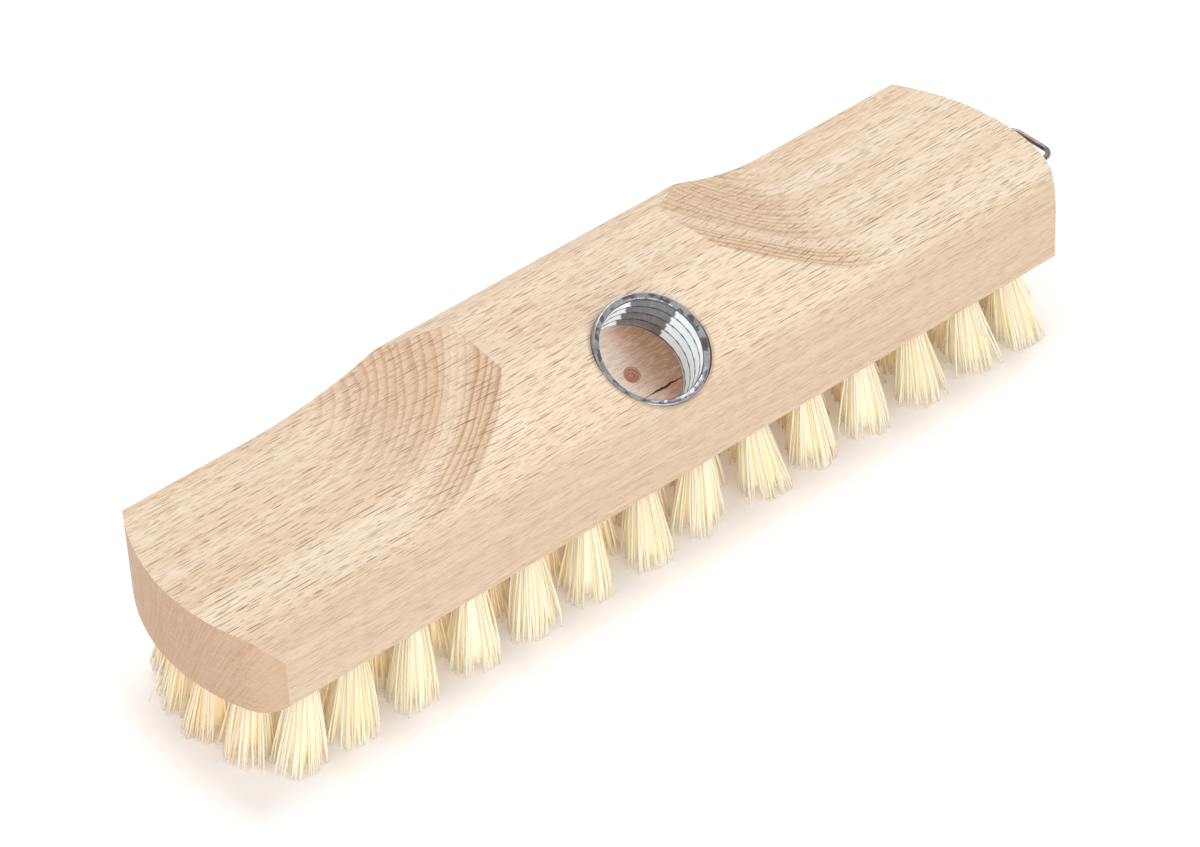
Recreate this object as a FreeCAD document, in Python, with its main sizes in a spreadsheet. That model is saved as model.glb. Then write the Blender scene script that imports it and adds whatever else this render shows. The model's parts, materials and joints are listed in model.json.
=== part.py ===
"""Scrubbing-brush head: a beech block with a screw-in handle socket, a wire hanging loop and 72 fibre tufts.

Frame: +X along the block towards the hanging loop, +Z up, the fibre tips standing on z = 0.  The origin
is the centre of the whole part's footprint, so the block sits back by half of what the loop overhangs.
Each body is drawn in the block's own frame (centre of its underside) and then placed.
"""
import FreeCAD, Part
import math
import os
import re
import Sketcher

App = FreeCAD
V = App.Vector

DIMENSIONS = {
    # beech block
    "block_length": 220.0,
    "block_width": 48.6,
    "end_radius": 50.4,             # plan radius of both rounded ends
    "end_apex_offset": 2.7,         # the ends' apex lies this far to the near side of the middle
    "near_corner": 6.75,            # rounds the plain end off into the near side
    "near_ease": 30.5,              # tighter arc of the loop's end, up to its crisp near corner
    "ease_place": 8.2,              # where that arc starts, to the near side of the apex
    "near_side_height": 11.0,       # upright part of the near side
    "near_shoulder": 10.0,          # radius from the near side to the slope
    "slope_radius": 59.0,           # gentle crown of the slope that carries the socket
    "crease_place": 0.5,            # crease between slope and ridge, to the near side of the middle
    "crease_height": 28.0,
    "ridge_place": 16.4,            # far edge of the ridge, from the middle
    "ridge_height": 28.9,
    "far_edge_height": 25.2,        # far edge of the raised middle
    # hollowed ends: left is the plain one, right carries the hanging loop
    "left_height": 19.05,           # height of the low end along the middle
    "left_cross": 2.23,             # degrees that it rises to the far side
    "left_foot": 71.4,              # start of the hollow, from the middle
    "left_hollow": 105.4,           # radius of the hollow
    "left_ramp": 17.1,              # degrees
    "right_height": 19.5,
    "right_cross": 1.2,
    "right_foot": 65.0,
    "right_hollow": 55.0,
    "right_ramp": 18.8,
    "cut_margin": 5.0,              # how far each cutting outline stands off the wood
    # handle socket
    "socket_place": 2.6,            # socket axis at the rim, along the block
    "socket_side": 12.5,            # and to the near side of the middle
    "socket_rim_height": 23.85,     # centre of the rim's top above the underside
    "socket_tilt": 32.5,            # degrees
    "socket_depth": 12.8,           # rim top to wood floor
    "rim_radius": 12.5,
    "rim_rounding": 0.45,
    "rim_flare": 0.9,               # flare from the rim's edge to the first thread crest
    "sheet_thickness": 0.6,
    "crest_radius": 11.0,
    "thread_depth": 0.6,
    "thread_pitch": 3.0,
    "crest_land": 1.0,
    "socket_clearance": 0.05,
    "drill_mark_radius": 1.8,
    "drill_mark_depth": 0.9,
    # hanging loop
    "wire_diameter": 1.3,
    "loop_width": 12.5,             # between the two legs' centre lines
    "loop_reach": 8.2,              # exposed length of a leg
    "loop_bend": 2.5,
    "loop_bed": 7.0,                # length of a leg in the wood
    "loop_height": 11.35,           # above the underside
    "loop_inset": 0.4,              # where the legs enter, behind the end's apex
    "wire_clearance": 0.05,
    # tufts
    "bristle_length": 20.0,
    "tuft_radius": 2.7,
    "hole_clearance": 0.05,
    "hole_depth": 6.0,
    "side_margin": 5.3,             # outer rows' centre line to the block's side
    "middle_margin": 10.0,          # end tuft's centre to the end's apex, in the middle row
    "inner_margin": 11.5,
    "corner_margin": 16.6,
    "corner_gap": 12.0,             # corner tuft to the outer row's next one
    "end_lean": 3.3,                # how far the end tufts' tips lean out
    "side_lean": 1.15,              # and the outer rows' tips
    "tip_gap": 0.12,                # least gap between the tips of two rows
    # anchor wires
    "anchor_thickness": 0.4,
    "anchor_width": 1.6,
    "anchor_cover": 0.8,            # fibre between the anchor and the hole's floor
}

MIDDLE_COUNT = 14
INNER_COUNT = 15
OUTER_COUNT = 12                    # without the two corner tufts

# Half lengths and places of the five rows of tufts, and how their tips fan out.
MIDDLE_HALF = "(block_length / 2 - middle_margin)"
INNER_HALF = "(block_length / 2 - inner_margin)"
CORNER_HALF = "(block_length / 2 - corner_margin)"
OUTER_HALF = f"({CORNER_HALF} - corner_gap)"
OUTER_SIDE = "(block_width / 2 - side_margin)"
INNER_SIDE = f"({OUTER_SIDE} / 2)"
FAN_ALONG = f"(1 + end_lean / {MIDDLE_HALF})"
FAN_ACROSS = f"(1 + side_lean / {OUTER_SIDE})"
TIP_RADIUS = f"(({INNER_SIDE} * {FAN_ACROSS} - tip_gap) / 2)"

# What the loop overhangs past the end's apex, and with it how far back the block sits.
LOOP_OVERHANG = "(loop_reach + wire_diameter / 2 - loop_inset)"
LOOP_ENTRY = "block_length / 2 - loop_inset"
BLOCK_X = f"-{LOOP_OVERHANG} / 2"
RIM_DEPTH = "(rim_flare + thread_pitch)"

doc = App.newDocument("ScrubbingBrush")


def make_sheet():
    cells = doc.addObject("Spreadsheet::Sheet", "Dimensions")
    for row, (name, value) in enumerate(DIMENSIONS.items(), start=1):
        cells.set(f"A{row}", name)
        cells.set(f"B{row}", str(value))
        cells.setAlias(f"B{row}", name)
    doc.recompute()
    return cells


sheet = make_sheet()


def value_of(expression):
    """Work out an expression of cell names from the sheet."""
    return float(sheet.evalExpression(str(expression)))


def bind(thing, target, expression):
    """Tie a property to an expression of cell names."""
    in_sheet = re.sub(
        r"[a-z_]+", lambda word: f"Dimensions.{word[0]}" if word[0] in DIMENSIONS else word[0], str(expression)
    )
    thing.setExpression(target, in_sheet)


def place(thing, along, across, height, rotation=None):
    """Put a sub-part drawn in the block's frame, or about a point of it, where it belongs."""
    thing.Placement = App.Placement(V(0, 0, 0), rotation or App.Rotation())
    bind(thing, "Placement.Base.x", f"{BLOCK_X} + {along}")
    bind(thing, "Placement.Base.y", across)
    bind(thing, "Placement.Base.z", f"bristle_length + {height}")


class Outline:
    """A sketch whose points and radii are held by expressions of the sheet."""

    def __init__(self, body, name, plane, offset=None):
        self.sketch = body.newObject("Sketcher::SketchObject", name)
        origin_plane = [f for f in body.Origin.OriginFeatures if f.Role == f"{plane}_Plane"][0]
        self.sketch.AttachmentSupport = [(origin_plane, "")]
        self.sketch.MapMode = "FlatFace"
        if offset is not None:
            self.sketch.AttachmentOffset = offset

    def dimension(self, kind, *where):
        """Add a dimension; the last item is its expression."""
        *geometry, expression = where
        index = self.sketch.addConstraint(Sketcher.Constraint(kind, *geometry, value_of(expression)))
        bind(self.sketch, f"Constraints[{index}]", expression)

    def hold(self, geometry, point, across, up):
        self.dimension("DistanceX", -1, 1, geometry, point, across)
        self.dimension("DistanceY", -1, 1, geometry, point, up)

    def join(self, first, first_end, second, second_end):
        self.sketch.addConstraint(Sketcher.Constraint("Coincident", first, first_end, second, second_end))

    def smooth(self, first, first_end, second, second_end):
        self.sketch.addConstraint(Sketcher.Constraint("Tangent", first, first_end, second, second_end))

    def line(self, start, end):
        return self.sketch.addGeometry(Part.LineSegment(V(*start, 0), V(*end, 0)), False)

    def arc(self, centre, start, end):
        """Counter-clockwise arc about a centre from one point to another."""
        radius = math.dist(centre, start)
        turn = [math.atan2(p[1] - centre[1], p[0] - centre[0]) for p in (start, end)]
        circle = Part.Circle(V(*centre, 0), V(0, 0, 1), radius)
        return self.sketch.addGeometry(Part.ArcOfCircle(circle, *turn), False)

    def circle(self, across, up, radius):
        """Full circle held at its centre."""
        shape = Part.Circle(V(value_of(across), value_of(up), 0), V(0, 0, 1), value_of(radius))
        ring = self.sketch.addGeometry(shape, False)
        self.hold(ring, 3, across, up)
        self.dimension("Radius", ring, radius)

    def polygon(self, points):
        """Closed outline of straight lines through points of expressions."""
        values = [(value_of(across), value_of(up)) for across, up in points]
        lines = [self.line(values[i - 1], values[i]) for i in range(len(points))]
        for i, (across, up) in enumerate(points):
            self.join(lines[i], 2, lines[(i + 1) % len(points)], 1)
            self.hold(lines[i], 2, across, up)


def new_body(name, label):
    body = doc.addObject("PartDesign::Body", name)
    body.Label = label
    return body


def cut_away(body, kind, outline, name, **settings):
    """Add a Pocket or Groove and make sure that it takes wood away."""
    before = body.Shape.Volume
    feature = body.newObject(f"PartDesign::{kind}", name)
    feature.Profile = outline.sketch
    length = settings.pop("length", None)
    for setting, value in settings.items():
        setattr(feature, setting, value)
    if length is not None:
        bind(feature, "Length", length)
    body.Tip = feature
    doc.recompute()
    if feature.Shape.Volume > before - 1:
        raise RuntimeError(f"{name} cuts nothing away")
    return feature


def block_section(body):
    """Cross-section of the raised middle: near side, shoulder, slope, ridge, far bevel and far side."""
    half = value_of("block_width / 2")
    shoulder = value_of("near_shoulder")
    crown = value_of("slope_radius")
    side_top = (-half, value_of("near_side_height"))
    crease = (value_of("-crease_place"), value_of("crease_height"))
    ridge = (value_of("ridge_place"), value_of("ridge_height"))
    bevel = (half, value_of("far_edge_height"))
    # The slope's arc runs from the crease into the shoulder's arc, and its centre follows from both.
    shoulder_centre = (side_top[0] + shoulder, side_top[1])
    span = math.dist(shoulder_centre, crease)
    direction = [(crease[i] - shoulder_centre[i]) / span for i in (0, 1)]
    forward = ((crown - shoulder) ** 2 - crown**2 + span**2) / (2 * span)
    aside = math.sqrt((crown - shoulder) ** 2 - forward**2)
    slope_centre = (
        shoulder_centre[0] + forward * direction[0] + aside * direction[1],
        shoulder_centre[1] + forward * direction[1] - aside * direction[0],
    )
    outward = [(shoulder_centre[i] - slope_centre[i]) / (crown - shoulder) for i in (0, 1)]
    meeting = tuple(slope_centre[i] + crown * outward[i] for i in (0, 1))

    outline = Outline(body, "Section", "YZ")
    near_side = outline.line((-half, 0), side_top)
    shoulder_arc = outline.arc(shoulder_centre, meeting, side_top)
    slope_arc = outline.arc(slope_centre, crease, meeting)
    ridge_line = outline.line(crease, ridge)
    bevel_line = outline.line(ridge, bevel)
    far_side = outline.line(bevel, (half, 0))
    underside = outline.line((half, 0), (-half, 0))
    outline.smooth(near_side, 2, shoulder_arc, 2)
    outline.smooth(shoulder_arc, 1, slope_arc, 2)
    outline.join(slope_arc, 1, ridge_line, 1)
    outline.join(ridge_line, 2, bevel_line, 1)
    outline.join(bevel_line, 2, far_side, 1)
    outline.join(far_side, 2, underside, 1)
    outline.join(underside, 2, near_side, 1)
    outline.hold(near_side, 1, "-block_width / 2", "0")
    outline.hold(near_side, 2, "-block_width / 2", "near_side_height")
    outline.dimension("Radius", shoulder_arc, "near_shoulder")
    outline.dimension("Radius", slope_arc, "slope_radius")
    outline.hold(ridge_line, 1, "-crease_place", "crease_height")
    outline.hold(ridge_line, 2, "ridge_place", "ridge_height")
    outline.hold(far_side, 1, "block_width / 2", "far_edge_height")
    outline.hold(far_side, 2, "block_width / 2", "0")
    return outline


def hollow_outline(body, side, end):
    """Low end, hollow and ramp at one end of the block, seen from its near side."""
    foot, radius, ramp, low = (f"{end}_{word}" for word in ("foot", "hollow", "ramp", "height"))
    above = "(ridge_height + cut_margin)"
    out = f"{side} * (block_length / 2 + cut_margin)"
    foot_x = f"{side} * {foot}"
    ramp_x = f"{side} * ({foot} - {radius} * sin({ramp}))"
    ramp_z = f"({low} + {radius} * (1 - cos({ramp})))"
    top_x = f"{side} * ({foot} - {radius} * sin({ramp}) - ({above} - {ramp_z}) / tan({ramp}))"
    corners = [(out, above), (out, low), (foot_x, low), (ramp_x, ramp_z), (top_x, above)]
    values = [(value_of(across), value_of(up)) for across, up in corners]
    outline = Outline(body, f"{end.title()}Hollow", "XZ")
    end_face = outline.line(values[0], values[1])
    low_end = outline.line(values[1], values[2])
    centre = (values[2][0], values[2][1] + value_of(radius))
    if side < 0:
        hollow = outline.arc(centre, values[2], values[3])
    else:
        hollow = outline.arc(centre, values[3], values[2])
    foot_end, ramp_end = (1, 2) if side < 0 else (2, 1)
    slope = outline.line(values[3], values[4])
    lid = outline.line(values[4], values[0])
    outline.join(end_face, 2, low_end, 1)
    outline.join(low_end, 2, hollow, foot_end)
    outline.join(hollow, ramp_end, slope, 1)
    outline.join(slope, 2, lid, 1)
    outline.join(lid, 2, end_face, 1)
    outline.hold(end_face, 1, *corners[0])
    outline.hold(end_face, 2, *corners[1])
    outline.hold(low_end, 2, *corners[2])
    outline.hold(slope, 1, *corners[3])
    outline.hold(slope, 2, *corners[4])
    outline.dimension("Radius", hollow, radius)
    return outline


def plan_outline(body):
    """Frame around the block's plan: one end rolls off near its corner, the other keeps it crisp."""
    half = value_of("block_width / 2")
    radius = value_of("end_radius")
    apex = value_of("end_apex_offset")
    roll, ease = value_of("near_corner"), value_of("near_ease")
    leans = (math.asin((half - roll - apex) / (radius - roll)), math.asin(value_of("ease_place") / radius))
    outline = Outline(body, "Plan", "XY")
    ends = []
    for side, small, lean in ((-1, roll, leans[0]), (1, ease, leans[1])):
        out, down = side * math.cos(lean), math.sin(lean)
        centre = (side * (value_of("block_length / 2") - radius), -apex)
        far_corner = (centre[0] + side * math.sqrt(radius**2 - (half + apex) ** 2), half)
        blend = (centre[0] + radius * out, centre[1] - radius * down)
        small_centre = (blend[0] - small * out, blend[1] + small * down)
        reach = math.sqrt(max(small**2 - (half + small_centre[1]) ** 2, 0))
        near_end = (small_centre[0] + side * reach, -half)
        ends.append((centre, far_corner, small_centre, blend, near_end))
    far_side = outline.line(ends[1][1], ends[0][1])
    near_side = outline.line(ends[0][4], ends[1][4])
    for side, (centre, far_corner, small_centre, blend, near_end) in zip((-1, 1), ends):
        if side < 0:
            end = outline.arc(centre, far_corner, blend)
            small_arc = outline.arc(small_centre, blend, near_end)
        else:
            end = outline.arc(centre, blend, far_corner)
            small_arc = outline.arc(small_centre, near_end, blend)
        first, last = (1, 2) if side < 0 else (2, 1)
        outline.join(far_side, last, end, first)
        outline.smooth(end, last, small_arc, first)
        outline.hold(end, 3, f"{side} * (block_length / 2 - end_radius)", "-end_apex_offset")
        outline.dimension("Radius", end, "end_radius")
        outline.dimension("Radius", small_arc, "near_corner" if side < 0 else "near_ease")
        outline.dimension("DistanceY", -1, 1, far_side, last, "block_width / 2")
        outline.dimension("DistanceY", -1, 1, near_side, first, "-block_width / 2")
        if side < 0:
            outline.smooth(small_arc, last, near_side, first)
        else:
            outline.join(small_arc, last, near_side, first)
            outline.dimension("DistanceY", -1, 1, end, last, "-end_apex_offset - ease_place")
    frame_x, frame_y = "(block_length / 2 + cut_margin)", "(block_width / 2 + cut_margin)"
    corners = ((-1, -1), (1, -1), (1, 1), (-1, 1))
    outline.polygon([(f"{a} * {frame_x}", f"{b} * {frame_y}") for a, b in corners])
    return outline


def drill_tuft_row(body, name, across, count, half):
    """Blind holes for one row of tufts, evenly spaced about the middle."""
    outline = Outline(body, f"{name}Hole", "XY")
    outline.circle(f"-{half}", across, "tuft_radius + hole_clearance")
    first = cut_away(body, "Pocket", outline, f"{name}Drill", length="hole_depth", Reversed=True)
    row = body.newObject("PartDesign::LinearPattern", f"{name}Row")
    row.Originals = [first]
    row.Direction = (outline.sketch, ["H_Axis"])
    bind(row, "Length", f"2 * {half}")
    row.Occurrences = count
    body.Tip = row
    doc.recompute()


def make_block():
    body = new_body("Block", "block")
    pad = body.newObject("PartDesign::Pad", "Blank")
    pad.Profile = block_section(body).sketch
    bind(pad, "Length", "block_length")
    pad.SideType = "Symmetric"
    body.Tip = pad
    doc.recompute()

    for side, end in ((-1, "left"), (1, "right")):
        cross = App.Rotation(V(1, 0, 0), value_of(f"{end}_cross")).multVec(V(0, 1, 0))
        cut_away(
            body, "Pocket", hollow_outline(body, side, end), f"{end.title()}End", length="4 * block_width",
            SideType="Symmetric", UseCustomVector=True, Direction=cross,
        )
    cut_away(body, "Pocket", plan_outline(body), "RoundedEnds", length="4 * ridge_height", SideType="Symmetric")

    # Socket bore, stepped for the thick rim, with the drill's centre mark in its floor.
    tilt = App.Rotation(V(0, 0, 1), value_of("socket_tilt"))
    at_rim = App.Placement(
        V(value_of("-socket_side"), value_of("socket_rim_height"), value_of("socket_place")), tilt
    )
    bore = Outline(body, "SocketBore", "YZ", at_rim)
    wide = "rim_radius + socket_clearance"
    narrow = "crest_radius + thread_depth + sheet_thickness + socket_clearance"
    bore.polygon([
        ("0", "cut_margin"), (wide, "cut_margin"), (wide, f"-{RIM_DEPTH}"), (narrow, f"-{RIM_DEPTH}"),
        (narrow, "-socket_depth"), ("drill_mark_radius", "-socket_depth"),
        ("0", "-socket_depth - drill_mark_depth"),
    ])
    cut_away(body, "Groove", bore, "SocketDrill", ReferenceAxis=(bore.sketch, ["V_Axis"]), Angle=360)

    # Two blind holes that hold the loop's legs.
    at_entry = App.Placement(V(0, 0, value_of(LOOP_ENTRY)), App.Rotation())
    legs = Outline(body, "LegHoles", "YZ", at_entry)
    for side in (-1, 1):
        across = f"-end_apex_offset + {side} * loop_width / 2"
        legs.circle(across, "loop_height", "wire_diameter / 2 + wire_clearance")
    cut_away(body, "Pocket", legs, "LegDrill", length="2 * loop_bed", SideType="Symmetric")

    drill_tuft_row(body, "Middle", "0", MIDDLE_COUNT, MIDDLE_HALF)
    for side, name in ((-1, "Near"), (1, "Far")):
        drill_tuft_row(body, f"{name}Inner", f"{side} * {INNER_SIDE}", INNER_COUNT, INNER_HALF)
        drill_tuft_row(body, f"{name}Outer", f"{side} * {OUTER_SIDE}", OUTER_COUNT, OUTER_HALF)
    corners = Outline(body, "CornerHoles", "XY")
    for side in (-1, 1):
        for end in (-1, 1):
            corners.circle(f"{end} * {CORNER_HALF}", f"{side} * {OUTER_SIDE}", "tuft_radius + hole_clearance")
    cut_away(body, "Pocket", corners, "CornerDrill", length="hole_depth", Reversed=True)
    place(body, "0", "0", "0")
    return body


def make_handle_socket():
    """Sheet-metal sleeve with a thick proud rim; its thread is drawn as rings with flat crests."""
    body = new_body("HandleSocket", "handle_socket")
    root = "(crest_radius + thread_depth)"
    turns = int(value_of("(socket_depth - rim_flare - crest_land) / thread_pitch"))
    inside, outside = [], []
    for turn in range(turns):
        top = f"-(rim_flare + {turn} * thread_pitch)"
        steps = [
            ("crest_radius", top),
            ("crest_radius", f"{top} - crest_land"),
            (root, f"{top} - crest_land - thread_depth"),
            (root, f"{top} - thread_pitch + thread_depth"),
        ]
        inside += steps
        if turn > 0:
            outside += [(f"{radius} + sheet_thickness", height) for radius, height in steps]
    tail = f"-(rim_flare + {turns} * thread_pitch)"
    inside += [("crest_radius", tail), ("crest_radius", "-socket_depth")]
    outside += [("crest_radius + sheet_thickness", tail), ("crest_radius + sheet_thickness", "-socket_depth")]
    rim = [("rim_radius", f"-{RIM_DEPTH}"), ("rim_radius", "-rim_rounding"), ("rim_radius - rim_rounding", "0")]
    outline = Outline(body, "Sleeve", "XZ")
    outline.polygon(rim + inside + outside[::-1])
    turned = body.newObject("PartDesign::Revolution", "Turned")
    turned.Profile = outline.sketch
    turned.ReferenceAxis = (outline.sketch, ["V_Axis"])
    turned.Angle = 360
    body.Tip = turned
    tilt = App.Rotation(V(1, 0, 0), value_of("socket_tilt"))
    place(body, "socket_place", "-socket_side", "socket_rim_height", tilt)
    return body


def make_hanging_loop():
    """Bent wire: two legs pressed into the end face and the bar between them."""
    body = new_body("HangingLoop", "hanging_loop")
    half, reach = value_of("loop_width / 2"), value_of("loop_reach")
    bed, bend = value_of("loop_bed"), value_of("loop_bend")
    path = Outline(body, "Route", "XY")
    near_leg = path.line((-bed, -half), (reach - bend, -half))
    near_bend = path.arc((reach - bend, bend - half), (reach - bend, -half), (reach, bend - half))
    bar = path.line((reach, bend - half), (reach, half - bend))
    far_bend = path.arc((reach - bend, half - bend), (reach, half - bend), (reach - bend, half))
    far_leg = path.line((reach - bend, half), (-bed, half))
    for first, second in ((near_leg, near_bend), (near_bend, bar), (bar, far_bend), (far_bend, far_leg)):
        path.smooth(first, 2, second, 1)
    path.hold(near_leg, 1, "-loop_bed", "-loop_width / 2")
    path.hold(far_leg, 2, "-loop_bed", "loop_width / 2")
    path.dimension("DistanceX", -1, 1, bar, 1, "loop_reach")
    for leg in (near_leg, far_leg):
        path.sketch.addConstraint(Sketcher.Constraint("Horizontal", leg))
    path.dimension("Radius", near_bend, "loop_bend")
    path.dimension("Radius", far_bend, "loop_bend")
    wire = Outline(body, "WireSection", "YZ", App.Placement(V(0, 0, -bed), App.Rotation()))
    wire.circle("-loop_width / 2", "0", "wire_diameter / 2")
    bent = body.newObject("PartDesign::AdditivePipe", "BentWire")
    bent.Profile = wire.sketch
    bent.Spine = (path.sketch, [f"Edge{i + 1}" for i in range(5)])
    body.Tip = bent
    place(body, LOOP_ENTRY, "-end_apex_offset", "loop_height")
    return body


def station(number, count, half):
    """Place of one of count tufts spread evenly over a row."""
    return f"{2 * number - count + 1} / {count - 1} * {half}"


def tuft_places():
    """Every tuft's place (along, across) as expressions, by rank from the plain end."""
    ranks = []
    for i in range(MIDDLE_COUNT):
        if 0 < i < MIDDLE_COUNT - 1:
            outer = station(i - 1, OUTER_COUNT, OUTER_HALF)
        else:
            outer = f"-{CORNER_HALF}" if i == 0 else CORNER_HALF
        middle = station(i, MIDDLE_COUNT, MIDDLE_HALF)
        ranks.append([(outer, f"-{OUTER_SIDE}"), (middle, "0"), (outer, OUTER_SIDE)])
    for i in range(INNER_COUNT):
        inner = station(i, INNER_COUNT, INNER_HALF)
        ranks.append([(inner, f"-{INNER_SIDE}"), (inner, INNER_SIDE)])
    return sorted(ranks, key=lambda rank: value_of(rank[len(rank) // 2][0]))


def slab(name, along, across, length, width, height, base):
    """Upright box centred on a tuft."""
    box = doc.addObject("Part::Box", name)
    bind(box, "Length", length)
    bind(box, "Width", width)
    bind(box, "Height", height)
    bind(box, "Placement.Base.x", f"{along} - ({length}) / 2")
    bind(box, "Placement.Base.y", f"{across} - ({width}) / 2")
    bind(box, "Placement.Base.z", base)
    return box


def make_tuft(name, along, across):
    """Fibre tuft: a round root folded over its anchor wire, then a flare cut flat at the tips."""
    root = doc.addObject("Part::Cylinder", f"{name}Root")
    bind(root, "Radius", "tuft_radius")
    bind(root, "Height", "hole_depth")
    bind(root, "Placement.Base.x", along)
    bind(root, "Placement.Base.y", across)
    rings = []
    for level, radius, fan_x, fan_y, height in (
        ("Mouth", "tuft_radius", "1", "1", "0"),
        ("Tips", TIP_RADIUS, FAN_ALONG, FAN_ACROSS, "-bristle_length"),
    ):
        ring = doc.addObject("Part::Circle", f"{name}{level}")
        bind(ring, "Radius", radius)
        bind(ring, "Placement.Base.x", f"({along}) * {fan_x}")
        bind(ring, "Placement.Base.y", f"({across}) * {fan_y}")
        bind(ring, "Placement.Base.z", height)
        rings.append(ring)
    flare = doc.addObject("Part::Loft", f"{name}Flare")
    flare.Sections = rings
    flare.Solid = True
    flare.Ruled = True
    whole = doc.addObject("Part::MultiFuse", f"{name}Whole")
    whole.Shapes = [root, flare]
    slot = slab(
        f"{name}Slot", along, across, "3 * tuft_radius", "anchor_thickness + 2 * hole_clearance",
        "anchor_width + 2 * hole_clearance", "hole_depth - anchor_cover - anchor_width - hole_clearance",
    )
    tuft = doc.addObject("Part::Cut", name)
    tuft.Base = whole
    tuft.Tool = slot
    return tuft


def make_tufts_and_anchors():
    nodes, anchors = [], []
    for number, rank in enumerate(tuft_places(), start=1):
        tufts = []
        for row, (along, across) in enumerate(rank, start=1):
            name = f"Rank{number:02d}Tuft{row}"
            tufts.append(make_tuft(name, along, across))
            anchors.append(slab(
                f"{name}Anchor", along, across, "2 * tuft_radius", "anchor_thickness", "anchor_width",
                "hole_depth - anchor_cover - anchor_width",
            ))
        nodes.append(make_group(f"TuftRank{number:02d}", f"tuft_rank_{number:02d}", tufts))
    nodes.append(make_group("TuftAnchors", "tuft_anchors", anchors))
    return nodes


def make_group(name, label, pieces):
    group = doc.addObject("Part::Compound", name)
    group.Label = label
    group.Links = pieces
    place(group, "0", "0", "0")
    return group


def check_and_export(nodes):
    doc.recompute()
    for thing in doc.Objects:
        if "Invalid" in thing.State or "Error" in thing.State:
            raise RuntimeError(f"{thing.Name} failed: {thing.State}")
    for node in nodes:
        if node.Shape.isNull() or not node.Shape.isValid():
            raise RuntimeError(f"{node.Label} has no valid shape")
    os.makedirs("parts", exist_ok=True)
    for node in nodes:
        node.Shape.exportStep(f"parts/{node.Label}.step")
        box = node.Shape.BoundBox
        print(f"{node.Label}: {len(node.Shape.Solids)} solids, {node.Shape.Volume:.1f} mm3, "
              f"x {box.XMin:.2f}..{box.XMax:.2f} y {box.YMin:.2f}..{box.YMax:.2f} "
              f"z {box.ZMin:.2f}..{box.ZMax:.2f}")


def main():
    nodes = [make_block(), make_handle_socket(), make_hanging_loop()]
    nodes += make_tufts_and_anchors()
    check_and_export(nodes)


main()
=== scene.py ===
"""Looks of the scrubbing-brush head: beech grain, fibre tufts, threaded socket and wire loop."""
import json
import math
import random

import bpy
from mathutils import Matrix, Vector


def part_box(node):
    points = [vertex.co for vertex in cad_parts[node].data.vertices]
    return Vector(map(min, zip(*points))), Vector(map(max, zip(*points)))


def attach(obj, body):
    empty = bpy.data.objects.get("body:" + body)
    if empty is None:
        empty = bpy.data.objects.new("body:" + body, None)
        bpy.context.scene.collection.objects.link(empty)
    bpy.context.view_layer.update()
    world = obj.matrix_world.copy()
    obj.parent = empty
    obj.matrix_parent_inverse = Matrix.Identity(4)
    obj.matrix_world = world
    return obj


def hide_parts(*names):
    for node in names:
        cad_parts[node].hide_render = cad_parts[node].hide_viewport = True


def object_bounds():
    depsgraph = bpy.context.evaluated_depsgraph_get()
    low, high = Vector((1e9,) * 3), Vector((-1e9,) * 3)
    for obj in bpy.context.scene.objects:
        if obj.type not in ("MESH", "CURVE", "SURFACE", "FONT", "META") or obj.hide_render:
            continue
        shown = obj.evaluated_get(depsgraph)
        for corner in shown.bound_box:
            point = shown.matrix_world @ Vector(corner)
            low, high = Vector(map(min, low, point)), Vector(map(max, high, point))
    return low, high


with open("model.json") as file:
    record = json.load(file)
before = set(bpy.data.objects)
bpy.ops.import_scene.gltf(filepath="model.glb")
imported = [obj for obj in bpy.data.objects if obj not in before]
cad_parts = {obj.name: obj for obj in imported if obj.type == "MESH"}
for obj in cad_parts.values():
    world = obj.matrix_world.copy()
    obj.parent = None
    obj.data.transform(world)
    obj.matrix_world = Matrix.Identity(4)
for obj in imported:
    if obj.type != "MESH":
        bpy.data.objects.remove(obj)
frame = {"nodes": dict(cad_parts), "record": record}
cad_bounds = [list(corner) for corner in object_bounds()]
ground = cad_bounds[0][2]
MM = 0.001

# The block's box places everything: camera, growth rings and fibres start from its underside.
block_low, block_high = (Vector(corner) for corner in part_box("block"))
underside = block_low.z
block_base = Vector(((block_low.x + block_high.x) / 2, 0.0, underside))

# Camera: which side it looks from, where it aims, and its lens.
VIEW_AZIMUTH = math.radians(-38.64)
VIEW_ELEVATION = math.radians(39.29)
VIEW_ROLL = math.radians(-3.12)
VIEW_DISTANCE = 1.02957
VIEW_AIM = block_base + Vector((-2.19, -0.44, 0.0)) * MM
SENSOR_WIDTH = 36.0
LENS = 152.06

# The handle's socket: below the rim comes a smooth flare, and the thread runs from there down to
# the floor. Its mount holds the middle of the threaded length and the way out of the wood.
FLARE = 0.9 * MM
SOCKET_DEPTH = 12.8 * MM
mounts = {mount["name"]: mount for mount in frame["record"]["mounts"]}
socket_axis = Vector(mounts["handle_thread"]["axis"])
socket_tilt = math.atan2(-socket_axis.y, socket_axis.z)
rim_centre = Vector(mounts["handle_thread"]["pos_m"]) + socket_axis * (FLARE + SOCKET_DEPTH) / 2


def srgb(red, green, blue):
    """Colour as seen on screen, 0 to 255, turned into the linear colour that shaders take."""
    def linear(value):
        value /= 255
        return value / 12.92 if value <= 0.04045 else ((value + 0.055) / 1.055) ** 2.4
    return (linear(red), linear(green), linear(blue), 1.0)


# ---------------------------------------------------------------- node helpers

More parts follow.
